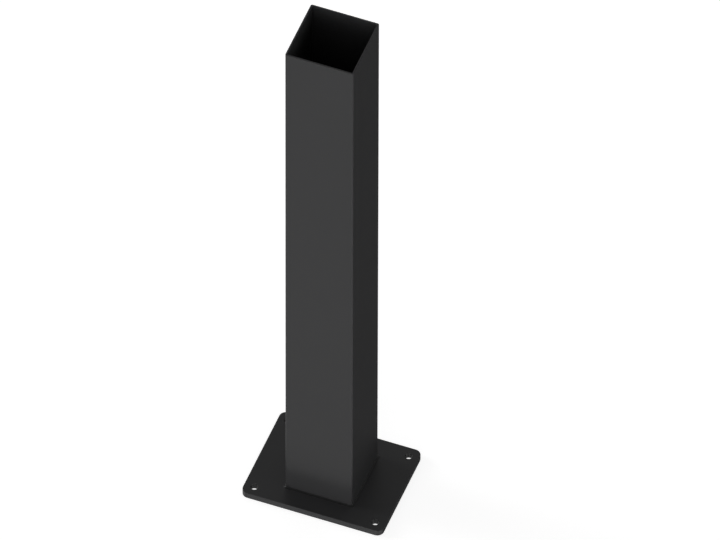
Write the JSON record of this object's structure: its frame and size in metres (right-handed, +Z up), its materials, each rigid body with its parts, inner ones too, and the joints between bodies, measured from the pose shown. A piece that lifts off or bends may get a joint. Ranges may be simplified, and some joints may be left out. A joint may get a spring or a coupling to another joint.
{
  "type": "metal fence post",
  "caption": "Square steel fence post, open at the top, welded all round to a flat rectangular base plate with anchor holes near its corners.",
  "frame": {"origin": "centre of the base plate's underside, the face that lies on the ground", "axes": "+Z up along the tube, +X along the base plate's long side, +Y along its short side"},
  "size_m": [0.21, 0.16, 0.91],
  "materials": {
    "powder_coat": "black powder coat, satin, fine even texture"
  },
  "bodies": {
    "root": {"base_plate": "powder_coat", "post_tube": "powder_coat", "foot_weld": "powder_coat"}
  },
  "joints": []
}
